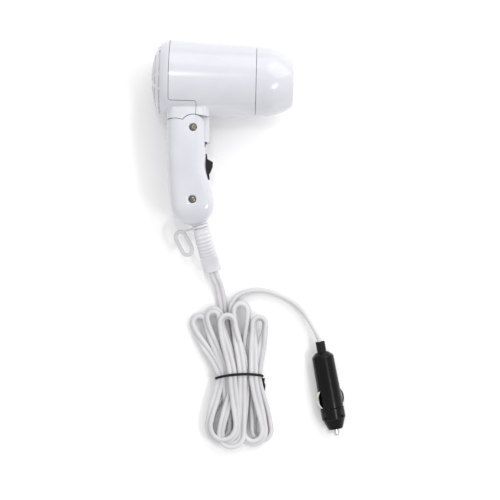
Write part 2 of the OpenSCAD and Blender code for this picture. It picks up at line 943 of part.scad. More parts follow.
module twist_tie() {
    band = 1.5;
    color("black")
        difference() {
            upright_tie(hank_waist[0] - 0.1 - band, hank_waist[1] + 0.1 + band,
                hank_waist_z[0] - 0.1 - band, hank_waist_z[1] + 0.1 + band, tie_w);
            upright_tie(hank_waist[0] - 0.1, hank_waist[1] + 0.1,
                hank_waist_z[0] - 0.1, hank_waist_z[1] + 0.1, 3 * tie_w);
        }
}

module upright_tie(x0, x1, z0, z1, w) {
    translate([x0, tie_y - w / 2, z0])
        cube([x1 - x0, w, z1 - z0]);
}

// ---- Socket plug ----

module plug_boot() {
    color("black")
        along_plug()
            rotate_extrude()
                polygon([
                    [0, 0], [4, 0], [4.15, 1], [4.15, boot_len + 3.5], [5.4, boot_len + 4.1],
                    [5.4, boot_len + 6], [0, boot_len + 6]
                ]);
}

module plug_body() {
    slot_z = 2.6;
    color("black")
        along_plug()
            difference() {
                rotate_extrude()
                    polygon([
                        [4.3, boot_len], [5.6, boot_len], [9, shoulder_t - 0.6], [9.6, shoulder_t + 0.4],
                        [plug_body_r, ring_t - 6], [plug_body_r, ring_t - 0.3], [8.4, ring_t - 0.3],
                        [8.4, shoulder_t + 1], [4.3, shoulder_t]
                    ]);
                rotate([0, 0, plug_roll])
                    for (side = [-1, 1])
                        translate([side * 10 - 3, -slot_z, leaf_t[0] - 0.4])
                            cube([6, 2 * slot_z, 30]);
            }
}

module plug_cap() {
    color("black")
        along_plug()
            difference() {
                rotate_extrude()
                    polygon([
                        [4.3, ring_t], [plug_ring_r, ring_t], [plug_ring_r, nose_t - 0.4],
                        [9.9, nose_t], [6.3, nose_end_t], [tip_r + running, nose_end_t],
                        [tip_r + running, nose_t + 4], [4.3, nose_t + 4]
                    ]);
                for (a = [45, 135, 225, 315])
                    rotate([0, 0, a])
                        translate([plug_ring_r - 0.7, -1.2, nose_t - 3])
                            cube([3, 2.4, 6]);
            }
}

module plug_tip() {
    color("silver")
        along_plug() {
            translate([0, 0, fuse_t + fuse_len])
                cylinder(r = 4, h = nose_t + 3.9 - fuse_t - fuse_len);
            translate([0, 0, nose_t + 3.8])
                cylinder(r = tip_r, h = plug_len - nose_t - 5);
            translate([0, 0, plug_len - 1.3])
                cylinder(r1 = tip_r, r2 = tip_r - 1, h = 1.3);
        }
}

module plug_fuse() {
    color("gainsboro")
        along_plug()
            translate([0, 0, fuse_t]) {
                cylinder(r = fuse_r - 0.2, h = fuse_len);
                for (t = [0, fuse_len - 6.4])
                    translate([0, 0, t])
                        cylinder(r = fuse_r, h = 6.4);
            }
}

module fuse_spring() {
    turns = 5;
    steps = 12;
    coil_r = 2.8;
    wire_r = 0.35;
    length = 13;
    color("silver")
        along_plug()
            skin([for (i = [0:turns * steps])
                let (a = 360 * i / steps, c = [coil_r * cos(a), coil_r * sin(a), fuse_t - length - 0.1
                    + wire_r + (length - 2 * wire_r) * i / (turns * steps)])
                [for (k = [0:5]) let (b = 60 * k)
                    c + wire_r * [cos(a) * cos(b), sin(a) * cos(b), sin(b)]]
            ]);
}

module plug_terminal() {
    color("goldenrod")
        along_plug() {
            translate([0, 0, fuse_t - 15])
                cylinder(r = 4, h = 1.8);
            translate([0, 0, boot_len + 6.2])
                cylinder(r = 1.4, h = fuse_t - 15 - boot_len - 6);
        }
}

// One bowed leaf that presses on the side of the vehicle socket
module leaf_contact(side) {
    leaf_half = 2;
    leaf_th = 0.5;
    chord = leaf_t[1] - leaf_t[0];
    root_x = 9.2;
    bow = leaf_bulge - root_x;
    bow_r = (pow(chord / 2, 2) + bow * bow) / (2 * bow);
    color("silver")
        along_plug()
            rotate([0, 0, plug_roll])
                mirror([side < 0 ? 1 : 0, 0, 0])
                rotate([90, 0, 0])
                    translate([0, 0, -leaf_half])
                        linear_extrude(2 * leaf_half)
                            intersection() {
                                translate([leaf_bulge - bow_r, (leaf_t[0] + leaf_t[1]) / 2])
                                    difference() {
                                        circle(bow_r, $fn = 96);
                                        circle(bow_r - leaf_th, $fn = 96);
                                    }
                                translate([root_x - 0.4, leaf_t[0]])
                                    square([10, chord]);
                            }
}

module contact_left() leaf_contact(-1);
module contact_right() leaf_contact(1);

main_housing();
rear_housing();
front_nozzle();
outlet_grille();
intake_screen();
heater_tube();
heater_frame();
heating_coil();
thermostat();
thermal_fuse();
motor_holder();
motor_can();
motor_end_cap();
motor_magnets();
motor_bearings();
motor_brushes();
motor_terminals();
motor_shaft();
armature();
commutator();
fan_impeller();
barrel_wires();
handle_shell_upper();
handle_shell_lower();
hinge_sleeve();
hinge_washers();
hinge_screw();
handle_screw();
switch_bezel();
switch_body();
switch_knob();
switch_terminals();
handle_wires();
cord_clamp();
clamp_screws();
cord_sleeve();
hanging_loop();
cord_exit();
cord_hank();
cord_lead();
twist_tie();
plug_boot();
plug_body();
plug_cap();
plug_tip();
plug_fuse();
fuse_spring();
plug_terminal();
contact_left();
contact_right();
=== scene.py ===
"""A folding car hair dryer with a tied twin lead and a 12 V socket plug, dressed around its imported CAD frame.

Lengths in the tables and functions are in millimetres, in the frame of the CAD model: X runs along the
barrel to the outlet, Y up the handle, Z up from the surface. MM turns them into metres.
"""

import json
import math

import bmesh
import bpy
from mathutils import Matrix, Vector


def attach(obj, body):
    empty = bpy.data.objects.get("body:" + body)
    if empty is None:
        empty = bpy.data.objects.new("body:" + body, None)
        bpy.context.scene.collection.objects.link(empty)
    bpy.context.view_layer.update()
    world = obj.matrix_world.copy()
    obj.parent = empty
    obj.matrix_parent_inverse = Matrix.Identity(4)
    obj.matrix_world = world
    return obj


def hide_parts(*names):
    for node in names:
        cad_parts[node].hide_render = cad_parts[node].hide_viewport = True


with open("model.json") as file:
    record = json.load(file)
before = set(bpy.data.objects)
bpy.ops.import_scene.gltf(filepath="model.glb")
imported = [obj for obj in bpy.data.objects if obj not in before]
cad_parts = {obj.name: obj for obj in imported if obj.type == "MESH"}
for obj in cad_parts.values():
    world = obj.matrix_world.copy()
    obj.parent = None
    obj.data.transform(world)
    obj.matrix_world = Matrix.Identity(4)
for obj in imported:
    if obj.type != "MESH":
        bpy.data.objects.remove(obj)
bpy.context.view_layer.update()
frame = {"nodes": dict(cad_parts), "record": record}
MM = 0.001


# ---- Numbers and curves ----

def ease(t):
    """Goes from 0 to 1 with a soft start and end, and stays there outside that range."""
    t = min(1.0, max(0.0, t))
    return t * t * (3 - 2 * t)


def mix(a, b, t):
    return a + (b - a) * t


def spread(a, b, count):
    """Evenly spaced values from a to b, both included."""
    return [mix(a, b, i / count) for i in range(count + 1)]


def power(v, n):
    """A cosine or sine bent towards a superellipse: 2 keeps it round, and more squares it off."""
    return math.copysign(abs(v) ** (2 / n), v)


def smooth_route(points, step):
    """A smooth curve through points of any size, resampled about a step apart in its first three numbers."""
    dense = []
    padded = [points[0]] + list(points) + [points[-1]]
    for i in range(len(points) - 1):
        p0, p1, p2, p3 = padded[i:i + 4]
        for k in range(12):
            t = k / 12
            dense.append([
                0.5 * (2 * b + (c - a) * t + (2 * a - 5 * b + 4 * c - d) * t * t
                       + (3 * b - a - 3 * c + d) * t ** 3)
                for a, b, c, d in zip(p0, p1, p2, p3)
            ])
    dense.append(list(points[-1]))
    walked = [0.0]
    for a, b in zip(dense, dense[1:]):
        walked.append(walked[-1] + math.dist(a[:3], b[:3]))
    count = max(2, round(walked[-1] / step))
    route, k = [], 0
    for i in range(count + 1):
        target = walked[-1] * i / count
        while k < len(dense) - 2 and walked[k + 1] < target:
            k += 1
        t = (target - walked[k]) / max(1e-9, walked[k + 1] - walked[k])
        route.append([mix(a, b, min(1.0, t)) for a, b in zip(dense[k], dense[k + 1])])
    return route


# ---- Meshes ----

def add_mesh(name, verts, faces):
    """A mesh object from points in millimetres, with its doubles joined and its faces turned outwards."""
    mesh = bpy.data.meshes.new(name)
    mesh.from_pydata([Vector(v) * MM for v in verts], [], faces)
    work = bmesh.new()
    work.from_mesh(mesh)
    bmesh.ops.remove_doubles(work, verts=work.verts, dist=0.002 * MM)
    bmesh.ops.recalc_face_normals(work, faces=work.faces)
    work.to_mesh(mesh)
    work.free()
    obj = bpy.data.objects.new(name, mesh)
    bpy.context.scene.collection.objects.link(obj)
    return obj


def apply_modifiers(obj):
    """Turns an object's modifiers into plain mesh."""
    bpy.context.view_layer.update()
    evaluated = obj.evaluated_get(bpy.context.evaluated_depsgraph_get())
    mesh = bpy.data.meshes.new_from_object(evaluated)
    obj.modifiers.clear()
    obj.data = mesh


def combine(obj, other, operation):
    """Combines an object with another one by a Boolean operation, and removes the other one."""
    tool = obj.modifiers.new("combine", "BOOLEAN")
    tool.operation = operation
    tool.solver = "EXACT"
    tool.object = other
    apply_modifiers(obj)
    bpy.data.objects.remove(other)


def cut(obj, *cutters):
    """Takes the cutters' volumes out of an object."""
    for cutter in cutters:
        combine(obj, cutter, "DIFFERENCE")


def round_edges(obj, width, segments, angle):
    """Rounds every edge sharper than an angle."""
    tool = obj.modifiers.new("round", "BEVEL")
    tool.width = width * MM
    tool.segments = segments
    tool.limit_method = "ANGLE"
    tool.angle_limit = math.radians(angle)
    apply_modifiers(obj)


def join(name, parts):
    """One object out of several."""
    work = bmesh.new()
    for part in parts:
        work.from_mesh(part.data)
        bpy.data.objects.remove(part)
    mesh = bpy.data.meshes.new(name)
    work.to_mesh(mesh)
    work.free()
    obj = bpy.data.objects.new(name, mesh)
    bpy.context.scene.collection.objects.link(obj)
    return obj


def finish_piece(obj, body, slot, materials, stands_for, sharp=35):
    """Shades a piece, gives it its slot's material and lets it ride on its body in place of CAD nodes."""
    for polygon in obj.data.polygons:
        polygon.use_smooth = True
    obj.data.set_sharp_from_angle(angle=math.radians(sharp))
    obj.data.materials.clear()
    obj.data.materials.append(materials[slot])
    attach(obj, body)
    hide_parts(*stands_for)
    return obj


def tube_solid(name, rings):
    """A closed solid through rings of points, with flat ends."""
    sides = len(rings[0])
    verts = [p for ring in rings for p in ring]
    last = (len(rings) - 1) * sides
    faces = [tuple(range(sides - 1, -1, -1)), tuple(last + i for i in range(sides))]
    for j in range(len(rings) - 1):
        for i in range(sides):
            k = (i + 1) % sides
            faces.append((j * sides + i, j * sides + k, (j + 1) * sides + k, (j + 1) * sides + i))
    return add_mesh(name, verts, faces)


def revolved(name, profile, at, along, sides=96):
    """A solid turned about an axis. profile is a closed outline of (distance along the axis, radius)."""
    axis = Vector(along).normalized()
    side = axis.cross(Vector((0, 0, 1)))
    side = Vector((1, 0, 0)) if side.length < 1e-6 else side.normalized()
    up = axis.cross(side)
    verts, faces, count = [], [], len(profile)
    for i in range(sides):
        a = 2 * math.pi * i / sides
        out = side * math.cos(a) + up * math.sin(a)
        verts += [Vector(at) + axis * s + out * max(0.0, r) for s, r in profile]
    for i in range(sides):
        n = (i + 1) % sides
        for j in range(count):
            k = (j + 1) % count
            if profile[j][1] <= 0 and profile[k][1] <= 0:
                continue
            faces.append((i * count + j, i * count + k, n * count + k, n * count + j))
    return add_mesh(name, verts, faces)


def prism(name, outline, z0, z1):
    """An outline in plan, raised between two heights."""
    count = len(outline)
    verts = [(x, y, z0) for x, y in outline] + [(x, y, z1) for x, y in outline]
    faces = [tuple(range(count - 1, -1, -1)), tuple(range(count, 2 * count))]
    faces += [(i, (i + 1) % count, (i + 1) % count + count, i + count) for i in range(count)]
    return add_mesh(name, verts, faces)


def block(name, x, y, z, place=None):
    """A box between pairs of limits, in the frame that place maps to the model's."""
    outline = [(x[0], y[0]), (x[1], y[0]), (x[1], y[1]), (x[0], y[1])]
    obj = prism(name, outline, z[0], z[1])
    if place is not None:
        obj.data.transform(place)
    return obj


def rounded_profile(points, radius, steps=4):
    """An outline of (along, radius) points with every corner but its two ends rounded."""
    out = [points[0]]
    for a, b, c in zip(points, points[1:], points[2:]):
        va, vc = Vector(a) - Vector(b), Vector(c) - Vector(b)
        r = min(radius, va.length * 0.45, vc.length * 0.45)
        p0, p2 = Vector(b) + va.normalized() * r, Vector(b) + vc.normalized() * r
        for i in range(steps + 1):
            t = i / steps
            out.append(tuple(p0 * (1 - t) ** 2 + Vector(b) * 2 * t * (1 - t) + p2 * t * t))
    return out + [points[-1]]


def turned_frame(at, degrees):
    """The frame of something that starts at a point and is turned about Z."""
    return Matrix.Translation(Vector(at) * MM) @ Matrix.Rotation(math.radians(degrees), 4, "Z")


# ---- Camera, floor and light ----

CAMERA_AT = (0.02735, -0.09995, 1.27)
CAMERA_ROLL = 1.4
CAMERA_LENS = 103.0
LIGHTS_AIM = (0.02, -0.06, 0.02)
# Name, place and size in metres, watts and colour
LIGHTS = [
    ("key_light", (0.8, 0.75, 0.95), (1.1, 1.1), 7.5, (1.0, 0.99, 0.97)),
    ("top_panel", (0.1, 1.15, 0.75), (1.1, 0.9), 3.6, (0.99, 0.995, 1.0)),
    ("barrel_strip", (-0.05, 0.26, 1.25), (0.08, 0.16), 1.3, (1.0, 1.0, 1.0)),
    ("plug_strip", (0.6, -0.35, 1.0), (0.3, 0.05), 2.6, (1.0, 1.0, 1.0)),
]
FLOOR_HALF = 2500
# The floor lies this far below the model in metres, so that the two never share a plane
FLOOR_DROP = 0.0002


def make_camera():
    data = bpy.data.cameras.new("camera")
    data.lens = CAMERA_LENS
    data.sensor_width = 36
    camera = bpy.data.objects.new("camera", data)
    camera.location = CAMERA_AT
    camera.rotation_euler = (0, 0, math.radians(CAMERA_ROLL))
    bpy.context.scene.collection.objects.link(camera)
    bpy.context.scene.camera = camera


def make_light(name, at, size, energy, colour):
    """A soft rectangular light that points at the middle of the dryer."""
    data = bpy.data.lights.new(name, "AREA")
    data.shape = "RECTANGLE"
    data.size, data.size_y = size
    data.energy = energy
    data.color = colour
    light = bpy.data.objects.new(name, data)
    light.location = at
    light.rotation_euler = (Vector(LIGHTS_AIM) - Vector(at)).to_track_quat("-Z", "Y").to_euler()
    bpy.context.scene.collection.objects.link(light)


def make_stage():
    corners = [(x * FLOOR_HALF, y * FLOOR_HALF, 0) for x, y in ((-1, -1), (1, -1), (1, 1), (-1, 1))]
    floor = add_mesh("floor", corners, [(0, 1, 2, 3)])
    floor.location.z = -FLOOR_DROP
    material = bpy.data.materials.new("floor_paper")
    material.use_nodes = True
    shader = material.node_tree.nodes["Principled BSDF"]
    shader.inputs["Base Color"].default_value = (0.96, 0.96, 0.96, 1)
    shader.inputs["Roughness"].default_value = 0.7
    floor.data.materials.append(material)
    world = bpy.data.worlds.new("studio")
    world.use_nodes = True
    world.node_tree.nodes["Background"].inputs["Color"].default_value = (0.985, 0.985, 0.98, 1)
    world.node_tree.nodes["Background"].inputs["Strength"].default_value = 0.84
    bpy.context.scene.world = world
    for light in LIGHTS:
        make_light(*light)
    bpy.context.scene.view_settings.view_transform = "Standard"


# ---- Materials ----

class Nodes:
    """Short names for building a material's node tree."""

    def __init__(self, name):
        self.material = bpy.data.materials.new(name)
        self.material.use_nodes = True
        self.tree = self.material.node_tree
        self.shader = self.tree.nodes["Principled BSDF"]
        self.place = self.tree.nodes.new("ShaderNodeTexCoord").outputs["Object"]

    def add(self, kind, **inputs):
        node = self.tree.nodes.new(kind)
        for key, value in inputs.items():
            node.inputs[key.replace("_", " ")].default_value = value
        return node

    def link(self, a, b):
        self.tree.links.new(a, b)

    def noise(self, scale, detail, stretch=None):
        node = self.add("ShaderNodeTexNoise", Scale=scale, Detail=detail)
        source = self.place
        if stretch is not None:
            mapping = self.tree.nodes.new("ShaderNodeMapping")
            mapping.inputs["Scale"].default_value = stretch
            self.link(source, mapping.inputs["Vector"])
            source = mapping.outputs["Vector"]
        self.link(source, node.inputs["Vector"])
        return node.outputs["Fac"]

    def ramp(self, source, stops):
        node = self.tree.nodes.new("ShaderNodeValToRGB")
        ramp = node.color_ramp
        for element, (position, colour) in zip(ramp.elements, (stops[0], stops[-1])):
            element.position, element.color = position, (*colour, 1)
        for position, colour in stops[1:-1]:
            ramp.elements.new(position).color = (*colour, 1)
        self.link(source, node.inputs["Fac"])
        return node.outputs["Color"]

    def span(self, source, low, high):
        node = self.add("ShaderNodeMapRange", To_Min=low, To_Max=high)
        self.link(source, node.inputs["Value"])
        return node.outputs["Result"]

    def bump(self, source, strength, depth):
        node = self.add("ShaderNodeBump", Strength=strength, Distance=depth)
        self.link(source, node.inputs["Height"])
        last = self.shader.inputs["Normal"]
        if last.is_linked:
            self.link(last.links[0].from_socket, node.inputs["Normal"])
        self.link(node.outputs["Normal"], last)


def moulded(name, dark, light, rough, grain, grain_depth, coat=0.0, shine=0.5):
    """Moulded plastic: faint clouds of colour, uneven gloss, and a fine grain or ripple."""
    nodes = Nodes(name)
    clouds = nodes.ramp(nodes.noise(38, 4), [(0.3, dark), (0.7, light)])
    nodes.link(clouds, nodes.shader.inputs["Base Color"])
    nodes.link(nodes.span(nodes.noise(170, 3), rough * 0.8, rough * 1.25), nodes.shader.inputs["Roughness"])
    nodes.bump(nodes.noise(55, 2), 0.10, 0.0004)
    nodes.bump(nodes.noise(grain, 3), 0.25, grain_depth)
    nodes.shader.inputs["Specular IOR Level"].default_value = shine
    nodes.shader.inputs["Coat Weight"].default_value = coat
    nodes.shader.inputs["Coat Roughness"].default_value = 0.06
    return nodes.material


def metal(name, dark, light, rough, stretch):
    """Metal with fine drawn or brushed lines and uneven tarnish."""
    nodes = Nodes(name)
    nodes.shader.inputs["Metallic"].default_value = 1.0
    tarnish = nodes.ramp(nodes.noise(240, 4), [(0.3, dark), (0.7, light)])
    nodes.link(tarnish, nodes.shader.inputs["Base Color"])
    lines = nodes.noise(900, 2, stretch)
    nodes.link(nodes.span(lines, rough * 0.7, rough * 1.4), nodes.shader.inputs["Roughness"])
    nodes.bump(lines, 0.12, 0.00004)
    return nodes.material


def fuse_glass():
    """Clear glass with a faint waviness."""
    nodes = Nodes("fuse_glass")
    nodes.shader.inputs["Base Color"].default_value = (0.86, 0.92, 0.9, 1)
    nodes.shader.inputs["Transmission Weight"].default_value = 0.9
    nodes.link(nodes.span(nodes.noise(300, 2), 0.03, 0.1), nodes.shader.inputs["Roughness"])
    nodes.bump(nodes.noise(160, 2), 0.1, 0.0002)
    return nodes.material


def mica_board():
    """Pressed mica: pale amber flakes."""
    nodes = Nodes("mica_board")
    flakes = nodes.add("ShaderNodeTexVoronoi", Scale=420.0)
    nodes.link(nodes.place, flakes.inputs["Vector"])
    colours = [(0.0, (0.42, 0.33, 0.2)), (0.5, (0.62, 0.52, 0.34)), (1.0, (0.8, 0.72, 0.53))]
    nodes.link(nodes.ramp(flakes.outputs["Distance"], colours), nodes.shader.inputs["Base Color"])
    nodes.link(nodes.span(nodes.noise(200, 3), 0.3, 0.55), nodes.shader.inputs["Roughness"])
    nodes.bump(flakes.outputs["Distance"], 0.3, 0.0001)
    return nodes.material


# Dark and light colour, roughness, the grain's scale and depth in metres, and any coat and shine
PLASTICS = {
    "white_abs": ((0.55, 0.555, 0.60), (0.59, 0.595, 0.64), 0.2, 900, 0.00001, 0.35),
    "dark_plastic": ((0.008, 0.008, 0.009), (0.018, 0.018, 0.019), 0.5, 1800, 0.00005, 0.0, 0.2),
    "white_pvc": ((0.59, 0.592, 0.62), (0.66, 0.662, 0.69), 0.42, 1500, 0.00003),
    "cord_pvc": ((0.53, 0.525, 0.545), (0.62, 0.615, 0.63), 0.46, 1300, 0.00004),
    "nylon": ((0.72, 0.69, 0.6), (0.83, 0.8, 0.72), 0.38, 900, 0.00003),
    "black_gloss": ((0.003, 0.0025, 0.003), (0.006, 0.005, 0.006), 0.24, 700, 0.00001, 0.0, 0.16),
    "black_rubber": ((0.006, 0.006, 0.007), (0.014, 0.014, 0.015), 0.55, 1600, 0.00005, 0.0, 0.2),
    "carbon": ((0.015, 0.015, 0.016), (0.05, 0.05, 0.05), 0.6, 1400, 0.00006),
    "wire_cover": ((0.7, 0.7, 0.74), (0.82, 0.82, 0.85), 0.42, 1200, 0.00003),
    "ferrite": ((0.03, 0.03, 0.032), (0.09, 0.09, 0.095), 0.55, 900, 0.00008),
}
# Dark and light colour, roughness, and how its lines are squeezed along each axis
METALS = {
    "steel": ((0.38, 0.38, 0.4), (0.62, 0.62, 0.63), 0.28, (1, 9, 9)),
    "screw_bronze": ((0.09, 0.075, 0.062), (0.3, 0.26, 0.22), 0.26, (1, 1, 6)),
    "nichrome": ((0.3, 0.27, 0.24), (0.6, 0.56, 0.5), 0.35, (1, 6, 6)),
    "zinc_steel": ((0.45, 0.46, 0.48), (0.7, 0.71, 0.73), 0.3, (8, 1, 1)),
    "laminations": ((0.16, 0.15, 0.15), (0.42, 0.4, 0.4), 0.42, (60, 1, 1)),
    "aluminium": ((0.6, 0.61, 0.63), (0.8, 0.8, 0.82), 0.28, (1, 8, 1)),
    "nickel": ((0.55, 0.5, 0.43), (0.8, 0.76, 0.7), 0.16, (1, 1, 7)),
    "brass": ((0.5, 0.36, 0.14), (0.76, 0.6, 0.3), 0.28, (1, 1, 6)),
    "copper": ((0.5, 0.23, 0.12), (0.78, 0.44, 0.28), 0.3, (20, 1, 1)),
    "bronze": ((0.35, 0.22, 0.1), (0.6, 0.43, 0.24), 0.42, (1, 1, 1)),
}


def make_materials():
    """One material for each slot of the record."""
    made = {name: moulded(name, *look) for name, look in PLASTICS.items()}
    made.update((name, metal(name, *look)) for name, look in METALS.items())
    made.update(mica=mica_board(), glass=fuse_glass())
    return made


# ---- The twin lead, its bundle and its tie ----

LEAD_T = 4.2
LEAD_STEP, TIE_STEP = 1.8, 1.2
EXIT_ROUTE = [
    (-4.6, -119.7, 10), (-2.4, -125.5, 9), (0, -131, 6.6), (1.8, -137, 4.4),
    (3.2, -143.5, 3.2), (4.4, -150, 2.8), (5.2, -157, 2.8),
]
LEAD_ROUTE = [
    (11.6, -153.5, 6), (12.8, -147, 5.6), (17.2, -140.6, 5), (27, -136.4, 4.5),
    (38.8, -135.4, 4.4), (51.2, -138, 4.5), (65.2, -144.4, 5), (76.6, -154.6, 6.6),
    (84, -165.4, 8.6), (88.4, -173, 10), (90.9, -179, 10.5),
]
TIE_Y = -211.2
TIE_WIRE_R = 1.15
# Where each strand passes the tie: across and up
STRANDS = {
    "t1": (4.2, 8.6), "t2": (14.8, 13.4), "t3": (23.4, 13.2), "t4": (33.2, 13.0),
    "m1": (8.5, 8.2), "m2": (17.2, 8.4), "m3": (26.5, 8.6), "m4": (36.0, 8.2),
    "l1": (9.4, 3.6), "l2": (17.8, 3.6), "l3": (26.0, 3.6), "l4": (34.0, 3.6),
}
# Loops in the order the lead runs through them: strand in, strand out, middle x and y, radius,
# height, and how far the lead stands on edge at its tip
LOOPS = [
    ("l2", "l3", (18, -257), 6.5, 4.6, 50),
    ("l3", "t3", (20.5, -153.8), -6.5, 9.4, 78),
    ("t3", "m2", (15, -261.7), -9.5, 11.4, 40),
    ("m2", "m1", (-3.6, -160.4), -6.5, 9.6, 50),
    ("m1", "l1", (3.5, -256.3), -9, 4.8, 60),
    ("l1", "t1", (-15.6, -165.5), -6.4, 6.2, 70),
    ("t1", "t2", (7.5, -255), 12.5, 12.6, 46),
    ("t2", "m3", (9.2, -164.6), 5.8, 11.8, 62),
    ("m3", "t4", (34, -259.2), 9.5, 11, 40),
    ("t4", "m4", (37.2, -164.8), 5.2, 9.6, 70),
    ("m4", "l4", (41.5, -258.5), -7.5, 4.9, 60),
]


def leg(strand, end, roll, outward):
    """Points from the tie to the side of a loop, or back: across, up, height and roll."""
    points = []
    for t in (0.0, 0.12, 0.26, 0.42, 0.58, 0.74, 0.88):
        bend = 0.55 * ease(t) + 0.45 * t
        points.append((
            mix(strand[0], end[0], bend), mix(TIE_Y, end[1], t),
            mix(strand[1], end[2], ease(t)), roll * ease((t - 0.35) / 0.6),
        ))
    return points if outward else points[::-1]


def lead_path():
    """The lead's centre line with its roll, from the sleeve through the bundle to the plug."""
    points = [(x, y, z, 0.0) for x, y, z in EXIT_ROUTE]
    points += leg(STRANDS["l2"], EXIT_ROUTE[-1], 0, False)[1:]
    for came, goes, (x, y), radius, height, roll in LOOPS:
        down = 1 if y < TIE_Y else -1
        start, end = (x - radius, y, height), (x + radius, y, height)
        points += leg(STRANDS[came], start, roll, True)[1:]
        for k in range(7):
            a = math.pi * k / 6
            tip = down * abs(radius) * 1.08 * math.sin(a)
            points.append((x - radius * math.cos(a), y - tip, height, roll))
        points += leg(STRANDS[goes], end, roll, False)
    points += leg(STRANDS["l4"], (13.6, -161, 4.6), 70, True)[1:]
    points += [(x, y, z, 90.0) for x, y, z in LEAD_ROUTE]
    return smooth_route(points, LEAD_STEP)


def twin_outline():
    """The lead's cross section: two round cores side by side with a groove between them."""
    core = LEAD_T / 2
    lobe = [math.radians(a) for a in spread(-146, 146, 11)]
    right = [(core + core * math.cos(a), core * math.sin(a)) for a in lobe]
    left = [(-p, -q) for p, q in right]
    return right + [(0.14, 0.8), (-0.14, 0.8)] + left + [(-0.14, -0.8), (0.14, -0.8)]


def swept_rings(path, outline, upright=(0, 0, 1)):
    """Rings of a cross section along a path of (x, y, z, roll). Roll 0 lays its width square to upright."""
    rings = []
    for j, (x, y, z, roll) in enumerate(path):
        before, after = path[max(0, j - 1)], path[min(len(path) - 1, j + 1)]
        along = (Vector(after[:3]) - Vector(before[:3])).normalized()
        across = Vector(upright).cross(along).normalized()
        up = along.cross(across)
        a = math.radians(roll)
        u = across * math.cos(a) + up * math.sin(a)
        v = up * math.cos(a) - across * math.sin(a)
        rings.append([Vector((x, y, z)) + u * p + v * q for p, q in outline])
    return rings


def make_lead(materials):
    path = lead_path()
    lead = tube_solid("twin_lead", swept_rings(path, twin_outline()))
    finish_piece(lead, "handle", "cord_pvc", materials, ("cord_exit", "cord_hank", "cord_lead"), 60)
    return lead, [[c * MM for c in p[:3]] for p in path]


def make_tie(materials):
    """A plastic-covered wire wrapped once round the bundle, with its two ends twisted together."""
    half_w, half_h, mid, squareness = 20.4, 7.4, (20.6, 8.7), 3.2
    points = []
    for k in range(49):
        a = 2 * math.pi * k / 48 - 0.5
        x = mid[0] + half_w * power(math.cos(a), squareness)
        z = mid[1] + half_h * power(math.sin(a), squareness)
        t = (x - mid[0] + half_w) / (2 * half_w)
        sway = mix(-0.9, 2.2, t) + 3.0 * math.sin(math.pi * t) ** 0.6 - 2.6 * ease((z - mid[1]) / -half_h)
        points.append((x, TIE_Y + sway - 1.6, z, 0.0))
    route = smooth_route(points, TIE_STEP)
    angles = [math.radians(a) for a in range(0, 360, 30)]
    round_wire = [(TIE_WIRE_R * math.cos(a), TIE_WIRE_R * math.sin(a)) for a in angles]
    parts = [tube_solid("tie_band", swept_rings(route, round_wire, (0, 1, 0)))]
    for turn in (0, math.pi):
        twist = []
        for k in range(25):
            t = k / 24
            a = turn + 5.5 * t
            twist.append((41.2 + 0.9 * math.cos(a) + 1.2 * t, TIE_Y - 2 - 11 * t,
                          4.2 + 0.9 * math.sin(a) - 1.2 * t, 0.0))
        parts.append(tube_solid("tie_end", swept_rings(twist, round_wire)))
    return finish_piece(join("twist_tie_wire", parts), "handle", "black_rubber",
                        materials, ("twist_tie",), 60)


# ---- Barrel and bracket ----

MID_Z = 34.0
AXIS_Y = 46.0
REAR_R = 34.0
TAPER = 3.4 / 74
X_SEAM, X_FRONT, X_NOSE, X_END = -45.0, 29.0, 36.0, 61.0
SEAM = 0.2
WALL = 2.0
LIP = 0.35
HINGE = (-23.6, 3.2)
HEAD_R, BRACKET_GAP = 10.7, 11.3
# Heights that reach through the whole dryer
THROUGH = (-5, 80)
SPLIT_X, APRON_Y = -21.5, 25.2
OUTLET_R, BORE_R = 21.5, 19.4
HUMP_AT, HUMP_R = (-39.4, -11.5), 21.8
SLOT_RIB = 3.0
# The dome's rings of slots: radius, width, and the X that each cut reaches from outside
SLOT_RINGS = ((8, 2.8, -53.6), (13.4, 2.8, -53.6), (18.8, 2.8, -53.6), (24.2, 2.8, -53.6), (29.6, 1.8, -50))
GRIP_HALF = 22.0
TONGUE_HALF, TONGUE_WALL, TONGUE_BACK_R = 15.5, 2.5, 13.0
TONGUE_FRONT = (-12.18, -10.02)
HINGE_BORE_R = 5.55


def barrel_r(x):
    return REAR_R - TAPER * (max(x, X_SEAM) - X_SEAM)


def along_barrel(name, profile, sides=160):
    return revolved(name, profile, (0, AXIS_Y, MID_Z), (1, 0, 0), sides)


def dome(inset):
    """The rear dome, from its middle to the side wall, as (x, radius): a shallow cap, then a corner."""
    corner_x, corner_r, rise = -43.0, 15.0, 18.0
    corner_in = REAR_R - corner_r
    cap_r = (corner_in ** 2 + rise ** 2 - corner_r ** 2) / (2 * (rise - corner_r))
    cap_x = corner_x - rise + cap_r
    cap_a = math.atan2(corner_in, cap_x - corner_x)
    last = math.acos((corner_x - X_SEAM) / corner_r)
    cap = [(cap_x - (cap_r - inset) * math.cos(a), (cap_r - inset) * math.sin(a))
           for a in spread(0, cap_a, 18)]
    corner = [(corner_x - (corner_r - inset) * math.cos(a), corner_in + (corner_r - inset) * math.sin(a))
              for a in spread(cap_a, last, 18)]
    return cap + corner[1:]


def nozzle(inset):
    """The front nozzle's one arc, as (x, radius)."""
    lean = math.atan(TAPER)
    chord = Vector((X_END - X_NOSE, OUTLET_R - barrel_r(X_NOSE)))
    normal = Vector((-math.sin(lean), -math.cos(lean)))
    radius = chord.length_squared / (2 * chord.dot(normal))
    centre = Vector((X_NOSE, barrel_r(X_NOSE))) + radius * normal
    last = math.atan2(X_END - centre.x, OUTLET_R - centre.y)
    return [(centre.x + (radius - inset) * math.sin(a), centre.y + (radius - inset) * math.cos(a))
            for a in spread(lean, last, 26)]


